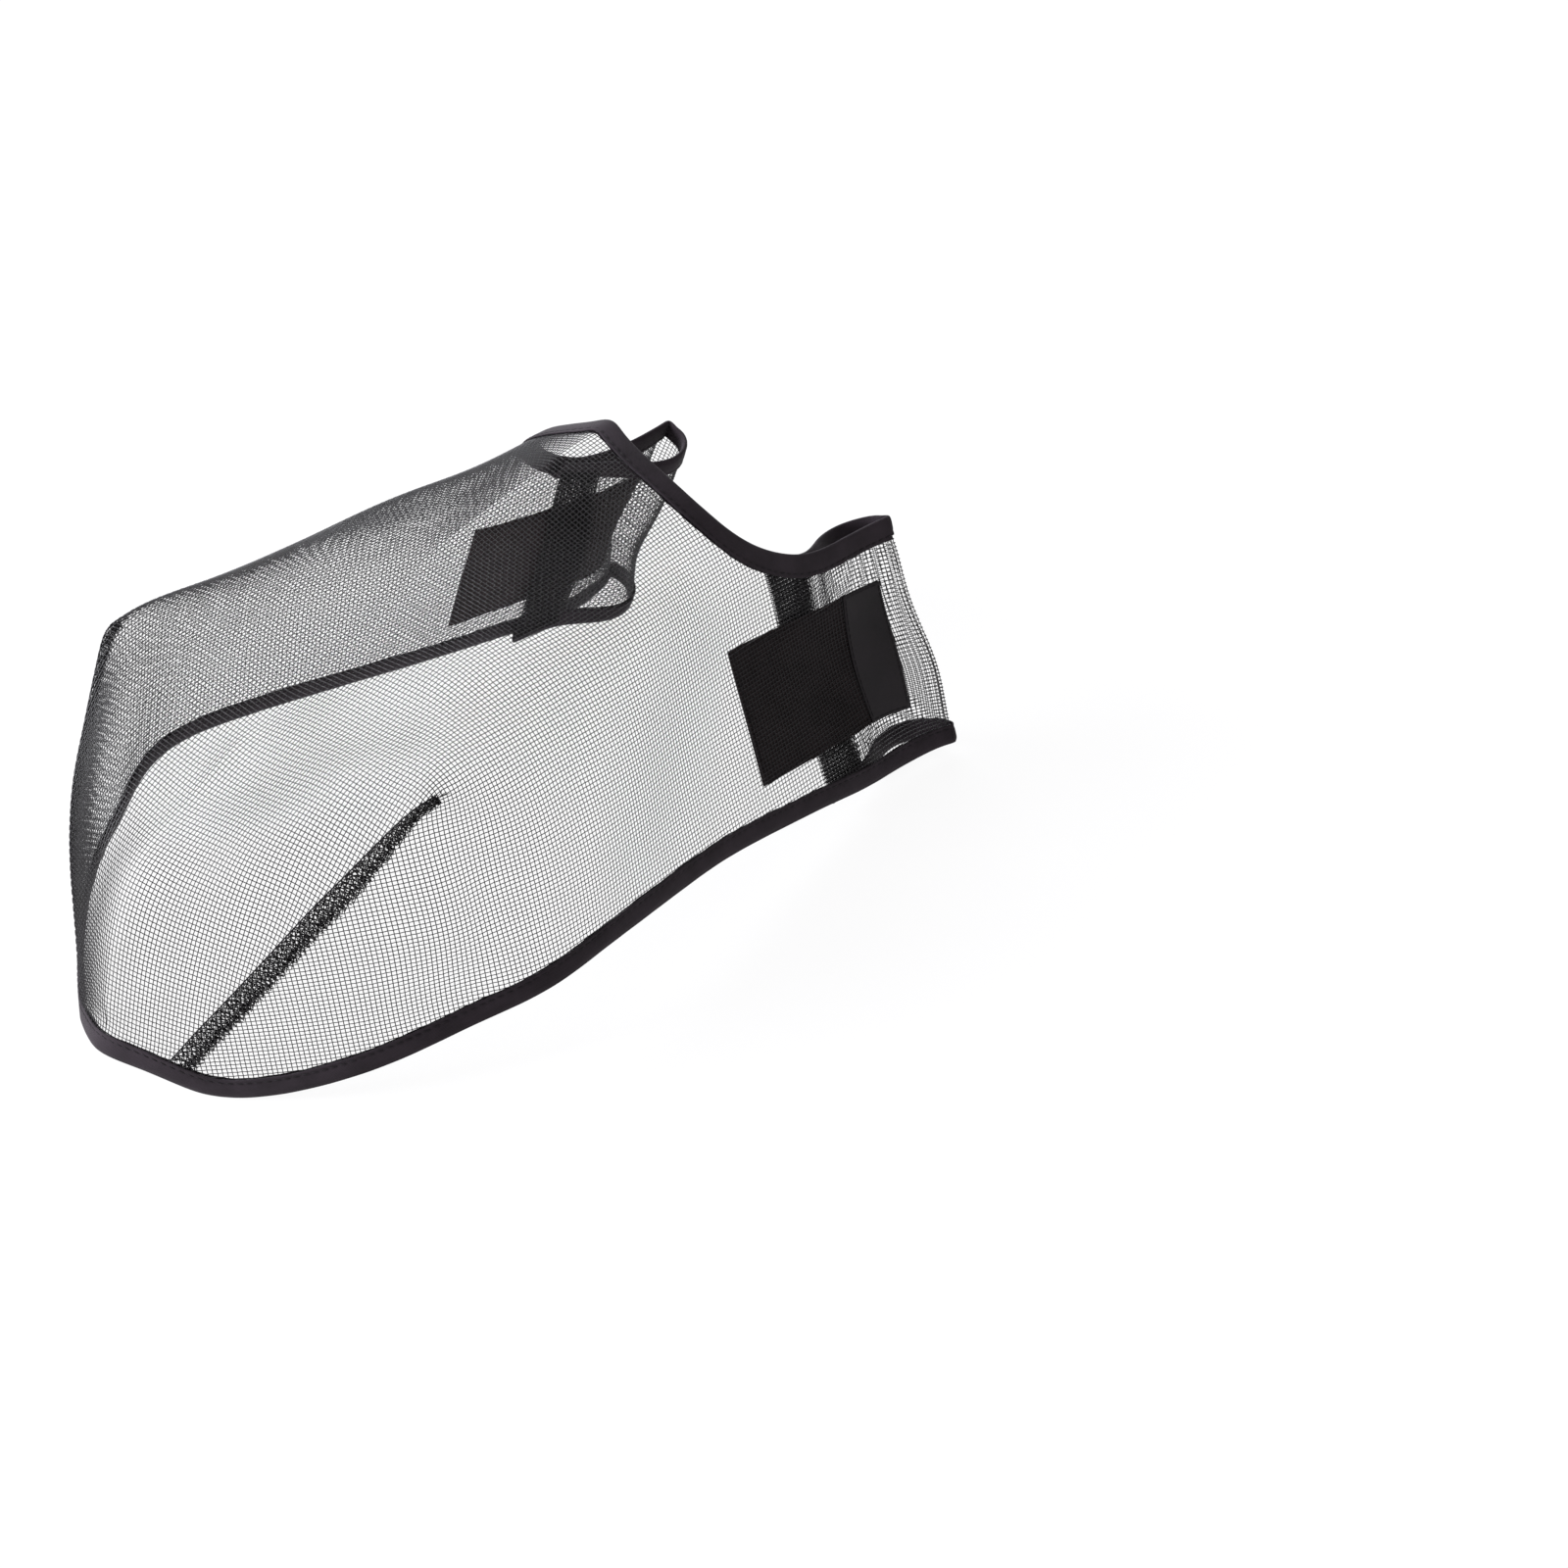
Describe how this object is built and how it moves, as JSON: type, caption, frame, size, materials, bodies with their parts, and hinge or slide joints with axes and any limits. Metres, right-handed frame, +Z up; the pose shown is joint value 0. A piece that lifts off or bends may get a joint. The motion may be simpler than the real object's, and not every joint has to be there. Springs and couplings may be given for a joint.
{
  "type": "horse nose fly net",
  "caption": "Black mesh tunnel that covers a horse's nose, bound with folded tape, darted at the muzzle, with a fold-over hook-and-loop tab each side for the noseband.",
  "frame": {"origin": "centre of the object's footprint, on the table it stands on", "axes": "+Z up; -Y toward the muzzle end, +Y toward the noseband end; +X is the horse's left side"},
  "size_m": [0.1986, 0.3146, 0.1336],
  "materials": {
    "insect_mesh": "coated 18 x 16 insect mesh, slight gloss",
    "layered_mesh": "several layers of the same mesh",
    "binding_tape": "folded woven tape, matt",
    "sewing_thread": "twisted polyester thread",
    "loop_pile": "brushed loop pile",
    "hook_tape": "hook tape",
    "woven_label": "plain damask woven label"
  },
  "bodies": {
    "net": {"mesh_panel": "insect_mesh", "top_hem_tape": "binding_tape", "muzzle_and_jaw_hem_tape": "binding_tape", "top_hem_stitching": "sewing_thread", "muzzle_hem_stitching": "sewing_thread", "dart_allowance_left": "layered_mesh", "dart_stitching_left": "sewing_thread", "loop_patch_left": "loop_pile", "label_left": "woven_label", "patch_stitching_left": "sewing_thread", "label_stitching_left": "sewing_thread", "dart_allowance_right": "layered_mesh", "dart_stitching_right": "sewing_thread", "loop_patch_right": "loop_pile", "label_right": "woven_label", "patch_stitching_right": "sewing_thread", "label_stitching_right": "sewing_thread"},
    "left_tab": {"flap_mesh_left": "insect_mesh", "hook_patch_left": "hook_tape", "flap_end_hem_left": "layered_mesh", "flap_end_stitching_left": "sewing_thread", "flap_upper_tape_left": "binding_tape", "flap_lower_tape_left": "binding_tape"},
    "right_tab": {"flap_mesh_right": "insect_mesh", "hook_patch_right": "hook_tape", "flap_end_hem_right": "layered_mesh", "flap_end_stitching_right": "sewing_thread", "flap_upper_tape_right": "binding_tape", "flap_lower_tape_right": "binding_tape"}
  },
  "joints": [
    {"name": "left_tab_peel", "type": "hinge", "parent": "net", "child": "left_tab", "pos_m": [0.06975, 0.1533, 0.04283], "axis": [0.3972, -0.0468, -0.9165], "range_deg": [0, 140]},
    {"name": "right_tab_peel", "type": "hinge", "parent": "net", "child": "right_tab", "pos_m": [-0.06975, 0.1533, 0.04283], "axis": [0.3972, 0.0468, 0.9165], "range_deg": [0, 140]}
  ]
}
